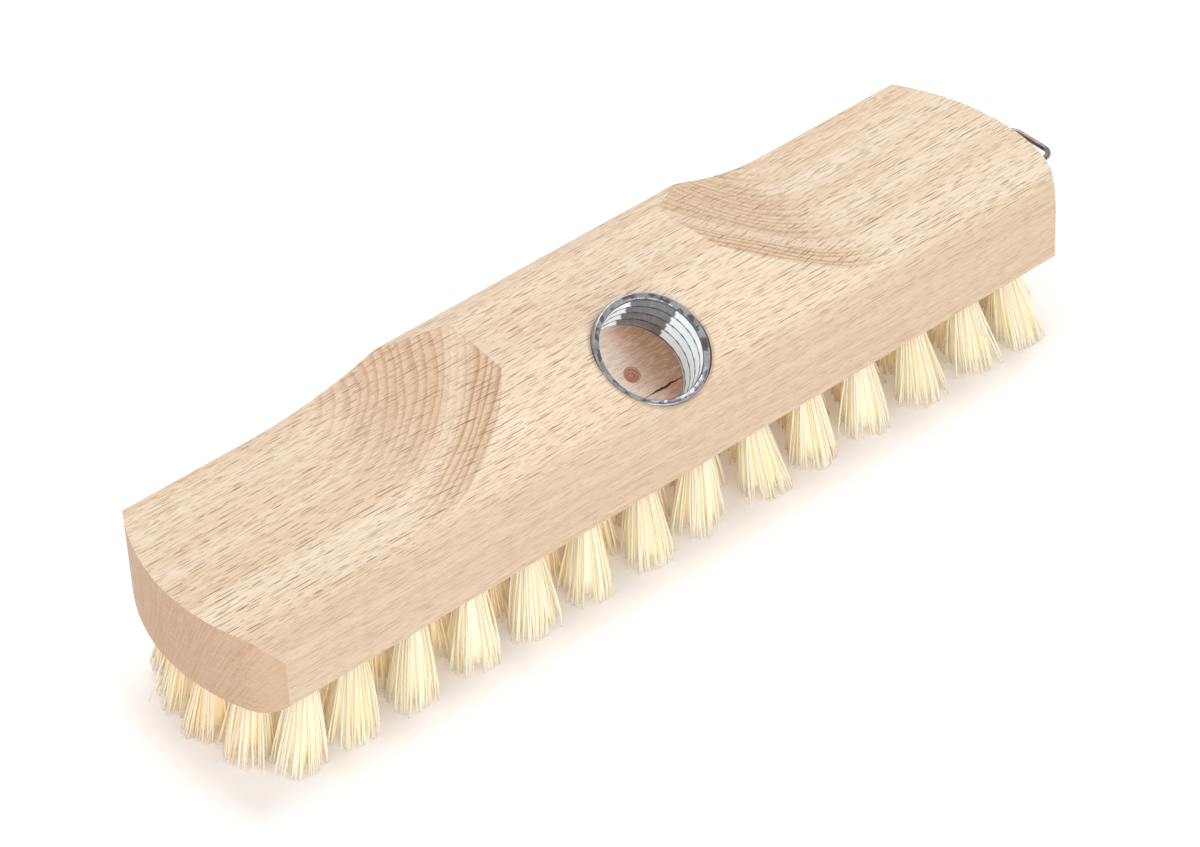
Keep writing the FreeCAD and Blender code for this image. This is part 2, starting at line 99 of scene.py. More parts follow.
class Graph:
    """Short hand for building a node tree. A value is a number, or the output of another node."""

    def __init__(self, owner):
        owner.use_nodes = True
        self.nodes = owner.node_tree.nodes
        self.links = owner.node_tree.links

    def add(self, kind, inputs=None, **settings):
        node = self.nodes.new(kind)
        for name, value in settings.items():
            setattr(node, name, value)
        for key, value in (inputs or {}).items():
            self.feed(node.inputs[key], value)
        return node

    def feed(self, socket, value):
        if isinstance(value, bpy.types.NodeSocket):
            self.links.new(value, socket)
        else:
            socket.default_value = value

    def math(self, operation, first, second=0.0):
        return self.add("ShaderNodeMath", {0: first, 1: second}, operation=operation).outputs[0]

    def fold(self, operation, values):
        """One operation over several values, from the left."""
        result, *rest = values
        for value in rest:
            result = self.math(operation, result, value)
        return result

    def times(self, *values):
        return self.fold("MULTIPLY", values)

    def plus(self, *values):
        return self.fold("ADD", values)

    def squared(self, value):
        return self.math("POWER", value, 2.0)

    def hypotenuse(self, first, second):
        return self.math("SQRT", self.plus(self.squared(first), self.squared(second)))

    def vector(self, operation, first, second=(0.0, 0.0, 0.0)):
        return self.add("ShaderNodeVectorMath", {0: first, 1: second}, operation=operation).outputs

    def split(self, vector):
        return self.add("ShaderNodeSeparateXYZ", {0: vector}).outputs

    def join(self, *parts):
        return self.add("ShaderNodeCombineXYZ", dict(enumerate(parts))).outputs[0]

    def ramp(self, value, low, high, to_low=0.0, to_high=1.0):
        """Smooth step of a value from one range into another."""
        ends = {"From Min": low, "From Max": high, "To Min": to_low, "To Max": to_high}
        node = self.add(
            "ShaderNodeMapRange", {"Value": value, **ends}, interpolation_type="SMOOTHSTEP"
        )
        return node.outputs["Result"]

    def mix(self, share, first, second):
        node = self.add("ShaderNodeMix", data_type="RGBA", blend_type="MIX")
        for index, value in ((0, share), (6, first), (7, second)):
            self.feed(node.inputs[index], value)
        return node.outputs[2]

    def coats(self, colour, *coats):
        """Lay coats over a colour, each with its share and its tone on screen."""
        for share, tone in coats:
            colour = self.mix(share, colour, srgb(*tone))
        return colour

    def noise(self, vector, detail=2.0, roughness=0.5):
        inputs = {"Vector": vector, "Scale": 1.0, "Detail": detail, "Roughness": roughness}
        return self.add("ShaderNodeTexNoise", inputs).outputs["Fac"]

    def background_rays(self):
        """1 for the rays that show the background: the camera's, and those off gloss or glass."""
        rays = self.add("ShaderNodeLightPath").outputs
        kinds = ("Is Camera Ray", "Is Glossy Ray", "Is Transmission Ray")
        return self.fold("MAXIMUM", [rays[kind] for kind in kinds])


class Surface(Graph):
    """A material's node tree, around its own shader."""

    def __init__(self, name):
        self.material = bpy.data.materials.new(name)
        super().__init__(self.material)
        self.shader = self.nodes["Principled BSDF"]
        self.position = self.add("ShaderNodeTexCoord").outputs["Object"]

    def shade(self, inputs):
        for name, value in inputs.items():
            self.feed(self.shader.inputs[name], value)

    def place(self, scale, offset=(0.0, 0.0, 0.0)):
        """Position in metres, scaled along each axis."""
        inputs = {"Vector": self.position, "Scale": scale, "Location": offset}
        return self.add("ShaderNodeMapping", inputs).outputs["Vector"]

    def bump(self, height, distance, strength):
        inputs = {"Height": height, "Distance": distance, "Strength": strength}
        return self.add("ShaderNodeBump", inputs).outputs["Normal"]

    def attributes(self, *names):
        return [
            self.add("ShaderNodeAttribute", attribute_name=name).outputs["Fac"] for name in names
        ]


# ---------------------------------------------------------------- beech

# The growth rings are circles about a pith line along X, far below the block on its upright side.
# Places around it are measured on one ring's radius. Two rings stand out: a pale one, and one
# outside which all the wood is paler.
PITH = Vector((0.0, 42.0, -90.0)) * MM + Vector((0.0, 0.0, underside))
RING_RADIUS = 120.0 * MM
RING_SPACING = 0.66 * MM
RING_DRIFT = 2.2 * MM
PALE_RING = 121.5 * MM
PALE_OUTER = 125.4 * MM
RAY_FAN = 0.6

# The socket's floor, seen from the rim's centre: painted shade round the sleeve, drill mark,
# crack.
SLEEVE_BORE = 12.4 * MM
FLOOR_LAYER = 0.6 * MM
RIM_SHADE = (13.5 * MM, 12.7 * MM)
DRILL_MARK = (1.95 * MM, 1.75 * MM)
DRILL_RING = 0.62 * MM
CRACK_X = 4.6 * MM
CRACK_Y = 2.6 * MM
CRACK_HALF = 5.2 * MM
CRACK_WIDTH = (0.24 * MM, 0.04 * MM)
CRACK_WANDER = 0.7 * MM


class Beech(Surface):
    """The wood, drawn in the tree's own directions: along, around and outwards."""

    def __init__(self):
        super().__init__("beech_wood")
        self.along, across, height = self.split(self.position)
        facing = self.split(self.add("ShaderNodeTexCoord").outputs["Normal"])
        drift = self.noise(self.place((9.0, 30.0, 30.0)), detail=1.0)
        drift = self.times(self.math("SUBTRACT", drift, 0.5), RING_DRIFT)
        side = self.math("SUBTRACT", across, PITH.y)
        up = self.math("SUBTRACT", height, PITH.z)
        self.outward = self.plus(self.hypotenuse(side, up), drift)
        self.around = self.times(self.math("ARCTAN2", side, up), RING_RADIUS)
        self.end_facing = self.math("ABSOLUTE", facing[0])
        self.near_facing = self.times(facing[1], -1.0)
        self.upright = self.math("LESS_THAN", self.math("ABSOLUTE", facing[2]), 0.1)

    def grain(self, *cell):
        """Position in the wood, in cells of the given lengths in millimetres."""
        axes = (self.along, self.around, self.outward)
        return self.join(*(
            self.math("DIVIDE", axis, length * MM) for axis, length in zip(axes, cell)
        ))

    def rings(self):
        """Late wood: darker towards each ring's outer edge, then a sudden return to pale."""
        wander = self.noise(self.grain(45.0, 22.0, 2.6), detail=1.0)
        turn = self.plus(self.math("DIVIDE", self.outward, RING_SPACING), self.times(wander, 3.0))
        phase = self.math("FRACT", turn)
        return self.times(self.ramp(phase, 0.35, 0.9), self.ramp(phase, 1.0, 0.94))

    def flecks(self, cell, half_length, half_width, share, shift):
        """Thin dashes along the grain: the cut edges of the wood's rays.

        A share of the cells, each as long and wide as given in millimetres, holds one dash. The
        dashes fan outwards as well as around, so that they stay thin where around runs level.
        """
        fan = self.plus(self.around, self.times(self.outward, RAY_FAN))
        where = self.join(*(
            self.plus(self.math("DIVIDE", axis, length * MM), shift)
            for axis, length in zip((self.along, fan), cell)
        ))
        inputs = {"Vector": where, "Scale": 1.0}
        voronoi = self.add("ShaderNodeTexVoronoi", inputs, voronoi_dimensions="2D").outputs
        chance = self.split(voronoi["Color"])
        offset = self.split(self.vector("SUBTRACT", where, voronoi["Position"])[0])
        length = self.ramp(chance[1], 0.0, 1.0, 0.5, 1.3)
        run = self.math("DIVIDE", self.times(offset[0], cell[0] / half_length), length)
        thick = self.times(offset[1], cell[1] / half_width)
        shape = self.ramp(self.hypotenuse(run, thick), 1.0, 0.75)
        kept = self.math("GREATER_THAN", chance[0], 1.0 - share)
        return self.times(shape, kept, self.ramp(chance[2], 0.0, 1.0, 0.4, 1.0))

    def ray_marks(self):
        long_ones = self.flecks((7.0, 0.9), 2.7, 0.075, 0.75, 3.7)
        short_ones = self.flecks((3.6, 0.5), 1.4, 0.06, 0.75, 11.3)
        return self.math("MAXIMUM", long_ones, self.times(short_ones, 0.75))

    def long_grain(self, ring, fibre):
        """Colour of the faces along the grain: broad tones, growth rings where cut, and fibres."""
        bands = self.noise(self.grain(220.0, 40.0, 1.7), detail=3.0, roughness=0.6)
        streaks = self.noise(self.grain(60.0, 1.1, 1.1), detail=3.0, roughness=0.65)
        cloud = self.noise(self.place((22.0, 45.0, 45.0)), detail=2.0)
        cut = self.ramp(self.end_facing, 0.03, 0.3)
        ring_edge = (PALE_RING + 0.6 * MM, PALE_RING + 1.4 * MM)
        outer = self.ramp(self.outward, *ring_edge, 0.45, 0.75)
        ring_share = self.plus(self.times(cut, outer), 0.1)
        from_pale = self.math("ABSOLUTE", self.math("SUBTRACT", self.outward, PALE_RING))
        pale_ring = self.ramp(from_pale, 1.3 * MM, 0.3 * MM)
        outer_edge = (PALE_OUTER - 0.5 * MM, PALE_OUTER + 0.4 * MM)
        base = self.mix(self.ramp(bands, 0.36, 0.66), srgb(245, 227, 203), srgb(231, 206, 177))
        return self.coats(
            base,
            (self.ramp(streaks, 0.4, 0.72, 0.0, 0.55), (226, 196, 163)),
            (self.ramp(cloud, 0.45, 0.7, 0.0, 0.35), (243, 222, 196)),
            (self.times(cut, 0.5), (216, 182, 147)),
            (self.times(ring, ring_share), (192, 148, 110)),
            (self.times(pale_ring, 0.55), (247, 228, 204)),
            (self.ramp(self.outward, *outer_edge, 0.0, 0.45), (247, 230, 208)),
            (self.ramp(fibre, 0.48, 0.68, 0.0, 0.45), (208, 171, 136)),
            (self.ramp(fibre, 0.46, 0.3, 0.0, 0.35), (250, 235, 214)),
        )

    def sawn_end(self, ring, saw):
        """Colour of the end faces: rays, faint rings, saw lines and open pores."""
        rays = self.noise(self.grain(3.0, 0.32, 9.0), detail=2.0)
        speckle = self.noise(self.place((3000.0, 3000.0, 3000.0)), detail=1.0)
        return self.coats(
            self.mix(self.ramp(rays, 0.42, 0.68), srgb(214, 182, 153), srgb(200, 164, 134)),
            (self.times(ring, 0.16), (184, 146, 116)),
            (self.ramp(saw, 0.5, 0.68, 0.0, 0.4), (228, 202, 180)),
            (self.ramp(speckle, 0.55, 0.7, 0.0, 0.35), (188, 148, 116)),
        )

    def socket_floor(self, colour):
        """Painted shade round the sleeve; torn wood below, darker brown to the right with painted
        shade, with drill mark and crack.
        """
        offset = self.vector("SUBTRACT", self.position, rim_centre)[0]
        depth = self.vector("DOT_PRODUCT", offset, -socket_axis)["Value"]
        reach = self.vector("LENGTH", offset)["Value"]
        square = self.math("SUBTRACT", self.squared(reach), self.squared(depth))
        radius = self.math("SQRT", self.math("MAXIMUM", square, 0.0))
        right, back = self.split(offset)[:2]
        deep = self.times(
            self.math("LESS_THAN", radius, SLEEVE_BORE),
            self.math("GREATER_THAN", depth, SOCKET_DEPTH - FLOOR_LAYER),
        )
        torn = self.noise(self.grain(2.6, 0.3, 0.3), detail=3.0, roughness=0.65)
        colour = self.coats(
            colour,
            # Painted shade in a ring round the sleeve's rim, where the rim stands proud of the
            # wood.
            (self.times(self.ramp(radius, *RIM_SHADE), 0.4), (150, 116, 88)),
            (self.times(deep, 0.7), (218, 202, 192)),
            # Painted shade: the socket's floor darker brown towards the right.
            (self.times(deep, self.ramp(right, -4.5 * MM, 8.0 * MM, 0.0, 0.8)), (176, 118, 80)),
            (self.times(deep, self.ramp(torn, 0.52, 0.68, 0.0, 0.4)), (146, 104, 76)),
            (self.times(deep, self.ramp(torn, 0.5, 0.36, 0.0, 0.4)), (228, 208, 192)),
        )

        wobble = self.times(self.noise(self.place((900.0, 900.0, 900.0)), detail=3.0), 1.5)
        turn = self.plus(self.math("DIVIDE", radius, DRILL_RING), wobble)
        ringed = self.ramp(self.math("FRACT", turn), 0.35, 0.75)
        mark = self.times(deep, self.ramp(radius, *DRILL_MARK), 0.85)
        colour = self.mix(mark, colour, self.mix(ringed, srgb(178, 122, 98), srgb(126, 70, 48)))

        wander = self.times(self.noise(self.place((500.0, 0.0, 0.0))), CRACK_WANDER)
        aside = self.math("ABSOLUTE", self.plus(self.math("SUBTRACT", back, CRACK_Y), wander))
        along = self.math("ABSOLUTE", self.math("SUBTRACT", right, CRACK_X))
        width = self.ramp(along, 0.0, CRACK_HALF, *CRACK_WIDTH)
        crack = self.times(
            self.math("LESS_THAN", aside, width), self.math("LESS_THAN", along, CRACK_HALF)
        )
        colour = self.coats(colour, (self.times(deep, crack), (62, 32, 16)))

        # Light that bounces about in the socket, stronger on its left.
        bounce = self.ramp(right, -7.0 * MM, 7.0 * MM, 0.52, 0.14)
        self.shade({"Emission Color": colour, "Emission Strength": self.times(deep, bounce)})
        return colour


def make_wood():
    wood = Beech()
    end = wood.times(wood.ramp(wood.end_facing, 0.03, 0.08), wood.upright)
    ring = wood.rings()
    fibre = wood.noise(wood.grain(4.6, 0.22, 0.22), detail=2.0, roughness=0.6)
    saw = wood.noise(wood.place((300.0, 260.0, 4200.0)), detail=1.0)
    marks = wood.times(wood.ray_marks(), wood.math("SUBTRACT", 1.0, end))
    colour = wood.coats(
        wood.mix(end, wood.long_grain(ring, fibre), wood.sawn_end(ring, saw)),
        (wood.times(marks, 0.95), (126, 78, 48)),
        # Painted shade: the faces turned towards the near side are darker.
        (wood.times(wood.ramp(wood.near_facing, 0.5, 0.9), 0.5), (206, 180, 152)),
    )
    relief = wood.plus(
        wood.times(fibre, 0.35), wood.times(marks, -0.4), wood.times(saw, end, 0.5)
    )
    wood.shade({
        "Base Color": wood.socket_floor(colour),
        "Roughness": wood.ramp(fibre, 0.3, 0.7, 0.52, 0.68),
        "Specular IOR Level": 0.3,
        "Normal": wood.bump(relief, 0.06 * MM, 0.6),
    })
    return wood.material


# ---------------------------------------------------------------- metal

WALL_GLOW = 0.22


def make_steel(name, tone, low, high):
    """Zinc-plated or drawn steel: faint patches, fine scratches and small dents."""
    steel = Surface(name)
    patches = steel.noise(steel.place((420.0, 420.0, 420.0)), detail=3.0, roughness=0.6)
    scratches = steel.noise(steel.place((900.0, 2600.0, 5200.0)), detail=2.0)
    shaded = [0.82 * part for part in tone]
    steel.colour = steel.mix(steel.ramp(patches, 0.35, 0.7), srgb(*tone), srgb(*shaded))
    relief = steel.plus(patches, steel.times(scratches, 0.3))
    steel.shade({
        "Base Color": steel.colour,
        "Roughness": steel.ramp(patches, 0.3, 0.75, low, high),
        "Metallic": 1.0,
        "Normal": steel.bump(relief, 0.03 * MM, 0.35),
    })
    return steel


def make_sleeve_steel():
    """Plated sleeve: worn spots on its rim, darkened as painted dark reflection; inside, painted
    reflections: bright flanks that also glow, a dark back, and dark thread lines of painted
    shadow.
    """
    steel = make_steel("sleeve_steel", (164, 166, 168), 0.12, 0.3)
    rim, wall, shine, line = steel.attributes("rim", "wall", "shine", "line")
    spots = steel.place((340.0, 340.0, 340.0), (3.0, 1.0, 0.0))
    # Dark spots on the rim: worn plating, darkened further as painted dark reflection.
    rim_wear_and_reflection = steel.noise(spots, detail=4.0, roughness=0.6)
    smear = steel.noise(steel.place((1500.0, 1500.0, 260.0)), detail=3.0)
    # Painted reflections inside the sleeve: a dark one on its back, bright ones on its flanks.
    dark_reflection = steel.mix(smear, srgb(104, 103, 104), srgb(154, 152, 151))
    bright = steel.mix(smear, srgb(228, 236, 238), srgb(244, 250, 252))
    inside = steel.coats(
        steel.mix(shine, dark_reflection, bright),
        (steel.times(line, 0.9), (62, 58, 58)),
    )
    colour = steel.coats(
        steel.mix(wall, steel.colour, inside),
        (steel.times(steel.ramp(rim_wear_and_reflection, 0.5, 0.56), rim, 0.85), (84, 76, 84)),
    )
    steel.shade({
        "Base Color": colour,
        "Metallic": steel.ramp(wall, 0.0, 1.0, 1.0, 0.25),
        "Emission Color": inside,
        "Emission Strength": steel.times(wall, shine, WALL_GLOW),
    })
    return steel


# ---------------------------------------------------------------- fibre

# Each tuft's loose fibres start in its hole, spread by the golden angle and gather in clumps.
FIBRES = 150
FIBRE_RADIUS = 0.225 * MM
FIBRE_SIDES = 4
FIBRE_STEPS = 5
GOLDEN_ANGLE = math.radians(137.508)
ROOT_DEPTH = 2.0 * MM
TIP_SPREAD = 1.24
TIP_GAP = 0.12 * MM
TIP_RAGGED = 0.65
STRAY_SHARE = 0.07
STRAY_REACH = 1.3
CLUMPS = 11

# The core between them ends above the floor, with a hollow in its middle.
CORE_FLUTES = 22
CORE_GROOVE = 0.22 * MM
CORE_STEPS = 4
CORE_RISE = 2.6 * MM
CORE_HOLLOW = 1.5 * MM

# What each point of a tuft tells its material: the stalk's own tone, how far down it is, how deep
# inside the tuft, and how deep inside the brush its row is, up to this far from the side.
INNER_ROW = 14.0 * MM
FIBRE_NUMBERS = ("tint", "run", "inside", "row")


def make_fibre_material():
    """Bleached plant fibre: each stalk has its own tone, and light glows warmer deep inside."""
    fibre = Surface("plant_fibre")
    tint, run, inside, row = fibre.attributes(*FIBRE_NUMBERS)
    grain = fibre.noise(fibre.place((5200.0, 5200.0, 260.0)), detail=2.0)
    colour = fibre.coats(
        fibre.mix(fibre.ramp(tint, 0.0, 0.8), srgb(255, 251, 234), srgb(254, 245, 216)),
        (fibre.ramp(tint, 0.88, 1.0, 0.0, 0.7), (242, 220, 176)),
        (fibre.ramp(grain, 0.5, 0.8, 0.0, 0.25), (249, 236, 204)),
        # Darker and warmer towards the root: a warmer tone there, and painted shade under the
        # block.
        (fibre.ramp(run, 0.4, 0.0, 0.0, 0.3), (238, 214, 170)),
        (fibre.ramp(run, 0.9, 1.0, 0.0, 0.6), (255, 250, 244)),
    )
    glow = fibre.coats(
        fibre.mix(inside, srgb(255, 243, 214), srgb(244, 220, 172)),
        (row, (216, 166, 104)),
    )
    strength = fibre.plus(fibre.ramp(inside, 0.0, 1.0, 0.075, 0.2), fibre.times(row, 0.04))
    fibre.shade({
        "Base Color": colour,
        "Roughness": fibre.ramp(grain, 0.3, 0.7, 0.4, 0.6),
        "Specular IOR Level": 0.35,
        "Emission Color": glow,
        "Emission Strength": fibre.times(strength, fibre.ramp(run, 0.1, 0.6, 0.4, 1.0)),
    })
    return fibre.material


class Shell:
    """A mesh that grows point by point, with numbers for its material at each point."""

    def __init__(self):
        self.points, self.faces, self.values = [], [], []

    def add(self, point, *numbers):
        self.points.append(point)
        self.values.append(numbers)

    def wrap(self, first, rings, around):
        """Join rings of points, which stand one after the other in the list, with quads."""
        for ring in range(rings - 1):
            for corner in range(around):
                ahead = (corner + 1) % around
                row, below = first + ring * around, first + (ring + 1) * around
                self.faces.append((row + corner, row + ahead, below + ahead, below + corner))


def new_piece(name, shell, labels, material):
    """Make a shell into a piece of the part, its numbers stored under their labels."""
    mesh = bpy.data.meshes.new(name)
    mesh.from_pydata([tuple(point) for point in shell.points], [], shell.faces)
    mesh.update()
    mesh.polygons.foreach_set("use_smooth", [True] * len(mesh.polygons))
    mesh.materials.append(material)
    for index, label in enumerate(labels):
        layer = mesh.attributes.new(label, "FLOAT", "POINT")
        layer.data.foreach_set("value", [numbers[index] for numbers in shell.values])
    piece = bpy.data.objects.new(name, mesh)
    bpy.context.collection.objects.link(piece)
    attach(piece, "root")
    return piece


def solids_of(mesh):
    """Points of each separate solid in a mesh whose vertices are doubled at its edges."""
    parent = {}

    def head(key):
        while parent[key] != key:
            parent[key] = parent[parent[key]]
            key = parent[key]
        return key

    spots = [tuple(round(part, 6) for part in vertex.co) for vertex in mesh.vertices]
    for spot in spots:
        parent[spot] = spot
    for face in mesh.polygons:
        first = head(spots[face.vertices[0]])
        for index in face.vertices[1:]:
            parent[head(spots[index])] = first
    groups = {}
    for spot in parent:
        groups.setdefault(head(spot), []).append(spot)
    return list(groups.values())


def ring_of(points, low, high):
    """Centre and half size, in plan, of the points between two heights."""
    chosen = [point for point in points if low <= point[2] <= high]
    xs = [point[0] for point in chosen]
    ys = [point[1] for point in chosen]
    centre = Vector(((min(xs) + max(xs)) / 2, (min(ys) + max(ys)) / 2, 0.0))
    return centre, (max(xs) - min(xs)) / 2


def compass(angle):
    return Vector((math.cos(angle), math.sin(angle), 0.0))


def jitter(dice, size_x, size_y):
    """Random step in plan, of sizes in millimetres."""
    return Vector((dice.gauss(0, size_x), dice.gauss(0, size_y), 0.0)) * MM


def keep_inside(point, margin):
    """Move a point into the CAD model's box, less a margin."""
    low, high = cad_bounds
    return Vector([
        min(max(point[axis], low[axis] + margin), high[axis] - margin) for axis in range(3)
    ])


class Tuft:
    """One tuft, grown where its solid stands: a fluted core with loose fibres around it."""

    def __init__(self, points, dice):
        lowest = min(point[2] for point in points)
        self.dice = dice
        self.root, self.root_radius = ring_of(points, underside + 0.5 * MM, underside + 30 * MM)
        self.tip, self.tip_radius = ring_of(points, lowest - MM, lowest + 0.2 * MM)
        self.tip += jitter(dice, 0.6, 0.5)
        to_side = cad_bounds[1][1] - abs(self.tip.y) - self.tip_radius
        self.row_depth = min(1.0, to_side / INNER_ROW)
        self.clumps = []
        for _ in range(CLUMPS):
            turn = dice.uniform(0, 2 * math.pi)
            out = self.tip_radius * 1.1 * math.sqrt(dice.random())
            self.clumps.append(self.tip + compass(turn) * out)

    def add_core(self, shell):
        """Fluted bundle that stands for the fibres packed in the middle."""
        first = len(shell.points)
        around = CORE_FLUTES * 2
        bottom = ground + CORE_RISE
        top = underside + ROOT_DEPTH
        tints = [self.dice.uniform(0.3, 1.0) for _ in range(CORE_FLUTES)]
        for step in range(CORE_STEPS + 1):
            part = step / CORE_STEPS
            height = top + (bottom - top) * part
            free = max(0.0, (underside - height) / (underside - ground))
            middle = self.root.lerp(self.tip, free)
            size = (self.root_radius * 0.86) * (1 - free) + self.tip_radius * 0.82 * free
            for corner in range(around):
                angle = math.pi * corner / CORE_FLUTES
                tint = tints[corner // 2]
                radius = size - (CORE_GROOVE if corner % 2 else 0.0)
                drop = (tint - 0.6) * 2.4 * MM if step == CORE_STEPS else 0.0
                spot = (
                    middle.x + radius * math.cos(angle),
                    middle.y + radius * math.sin(angle),
                    height + drop,
                )
                shell.add(Vector(spot), tint, part, 1.0, self.row_depth)
        shell.wrap(first, CORE_STEPS + 1, around)
        shell.add(
            Vector((self.tip.x, self.tip.y, bottom + CORE_HOLLOW)), 0.9, 1.0, 1.0, self.row_depth
        )
        last = first + CORE_STEPS * around
        for corner in range(around):
            ahead = (corner + 1) % around
            shell.faces.append((last + corner, last + ahead, len(shell.points) - 1))

    def fibre_line(self, number):
        """Points along one fibre, from inside its hole down to its tip, and how far out it is."""
        dice = self.dice
        spread = math.sqrt((number + 0.5) / FIBRES)
        outward = compass(number * GOLDEN_ANGLE + dice.uniform(-0.2, 0.2))
        start = self.root + outward * spread * (self.root_radius - FIBRE_RADIUS * 1.3)
        stray = STRAY_REACH if dice.random() < STRAY_SHARE else 1.0
        share = min(1.08, max(0.0, spread ** 0.85 + dice.gauss(0, 0.07)))
        reach = self.tip_radius * TIP_SPREAD * stray * share
        sway = jitter(dice, 0.25, 0.25)
        end = self.tip + outward * (reach - FIBRE_RADIUS) + sway
        clump = min(self.clumps, key=lambda spot: (spot - end).length)
        end = end.lerp(clump, dice.uniform(0.1, 0.45))
        end.z = ground + abs(dice.gauss(0, TIP_RAGGED)) * MM + TIP_GAP
        bow = jitter(dice, 0.22, 0.22) + outward * 0.15 * spread * MM
        top = underside + ROOT_DEPTH
        line = []
        for step in range(FIBRE_STEPS + 1):
            part = step / FIBRE_STEPS
            height = top + (end.z - top) * part
            free = max(0.0, (underside - height) / (underside - end.z))
            flat = start.lerp(end, free ** 1.08) + bow * 4 * free * (1 - free)
            point = Vector((flat.x, flat.y, height))
            line.append(keep_inside(point, FIBRE_RADIUS * 1.6))
        line[-1].z -= FIBRE_RADIUS
        return line, spread

    def add_fibre(self, shell, number):
        line, spread = self.fibre_line(number)
        inside = min(1.0, 1.6 * (1.0 - spread))
        radius = FIBRE_RADIUS * self.dice.uniform(0.8, 1.1)
        tint = self.dice.random()
        first = len(shell.points)
        for step, point in enumerate(line):
            ahead = line[min(step + 1, FIBRE_STEPS)]
            behind = line[max(step - 1, 0)]
            direction = (ahead - behind).normalized()
            side = direction.cross(Vector((0.0, 1.0, 0.0))).normalized()
            other = direction.cross(side)
            part = step / FIBRE_STEPS
            width = radius * (0.9 + 0.2 * part)
            for corner in range(FIBRE_SIDES):
                angle = 2 * math.pi * corner / FIBRE_SIDES
                spot = point + (side * math.cos(angle) + other * math.sin(angle)) * width
                shell.add(spot, tint, part, inside, self.row_depth)
        shell.wrap(first, FIBRE_STEPS + 1, FIBRE_SIDES)
        last = first + FIBRE_STEPS * FIBRE_SIDES
        shell.faces.append(tuple(last + corner for corner in range(FIBRE_SIDES)))


def make_fibres(node, material):
    """All fibres of one rank of tufts."""
    dice = random.Random(node)
    shell = Shell()
    for points in solids_of(bpy.data.objects[node].data):
        tuft = Tuft(points, dice)
        tuft.add_core(shell)
        for number in range(FIBRES):
            tuft.add_fibre(shell, number)
    name = node.replace("tuft", "fibres")
    piece = new_piece(name, shell, FIBRE_NUMBERS, material)
    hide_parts(node)


# ---------------------------------------------------------------- socket

# The sleeve, measured from its rim: radii outwards, heights down from the rim's plane.
SOCKET_STEPS = 240
RIM = 12.5 * MM
RIM_ROUNDING = 0.45 * MM
RIM_FACE = 0.75 * MM
RIM_SLOPE = 0.24 * MM
SKIRT = 3.8 * MM
CREST = 11.0 * MM
THREAD_PITCH = 3.0 * MM
THREAD_DEPTH = 1.12 * MM
THREAD_RETURN = 0.12
THREAD_STEP = 0.12 * MM
# Where in each turn the dark line of painted shadow under the thread's crest lies.
THREAD_SHADOW_LINE = (0.79, 0.92)

# The sleeve's back, where a dark reflection is painted, between two angles that lean by a few
# degrees along each turn.
DARK_REFLECTION_SPAN = (25.0, 74.0)
DARK_REFLECTION_LEAN = 5.0
# Painted shade at the wall's foot halves its bright reflection.
SHADED_FOOT = 0.25 * MM

# The worn rim: a slight wave of these orders round it, and a nick at the sheet's seam.
RIM_WAVES = (9, 14, 23, 31, 47)
SEAM = math.radians(47.0)
SEAM_NICK = 0.16 * MM


def thread_turn(angle, depth):
    return (depth - FLARE) / THREAD_PITCH - angle / (2 * math.pi)


def thread(turn):
    """Depth of the thread at a place in its turn: a long flank facing out, then a short return."""
    turn %= 1.0
    if turn < 1.0 - THREAD_RETURN:
        return 1.0 - turn / (1.0 - THREAD_RETURN)
    return (turn - 1.0 + THREAD_RETURN) / THREAD_RETURN


def socket_profile(angle):
    """Sleeve's outline at one angle: up the outer skirt, over the rim and down the thread."""
    points = [(RIM, -SKIRT), (RIM, -1.6 * MM), (RIM, -RIM_ROUNDING)]
    for step in range(1, 6):
        bend = math.pi / 2 * step / 6
        points.append((
            RIM - RIM_ROUNDING + RIM_ROUNDING * math.cos(bend),
            -RIM_ROUNDING + RIM_ROUNDING * math.sin(bend),
        ))
    edge = RIM - RIM_ROUNDING
    mouth = edge - RIM_FACE
    points += [(edge, 0.0), (edge - RIM_FACE * 0.5, -0.1 * MM), (mouth, -RIM_SLOPE)]
    for step in range(1, 5):
        bend = math.pi / 2 * step / 4
        points.append((
            mouth - (mouth - CREST) * math.sin(bend),
            -RIM_SLOPE - (FLARE - RIM_SLOPE) * (1.0 - math.cos(bend)),
        ))
    rows = round((SOCKET_DEPTH - FLARE) / THREAD_STEP)
    for row in range(1, rows + 1):
        depth = FLARE + (SOCKET_DEPTH - FLARE) * row / rows
        fade = min(1.0, (depth - FLARE) / (0.6 * MM), (SOCKET_DEPTH - depth) / (0.5 * MM))
        groove = THREAD_DEPTH * fade * thread(thread_turn(angle, depth))
        points.append((CREST + groove, -depth))
    return points


def wall_tones(angle, depth):
    """Painted reflection on the inside wall at a place, bright or dark, and whether a dark thread
    line of painted shadow is there.
    """
    turn = thread_turn(angle, depth) % 1.0
    degrees = (math.degrees(angle) + DARK_REFLECTION_LEAN * turn + 90.0) % 360.0 - 90.0
    shine = 0.0 if DARK_REFLECTION_SPAN[0] < degrees < DARK_REFLECTION_SPAN[1] else 1.0
    if depth > SOCKET_DEPTH - SHADED_FOOT:
        shine *= 0.5
    return shine, 1.0 if THREAD_SHADOW_LINE[0] < turn < THREAD_SHADOW_LINE[1] else 0.0


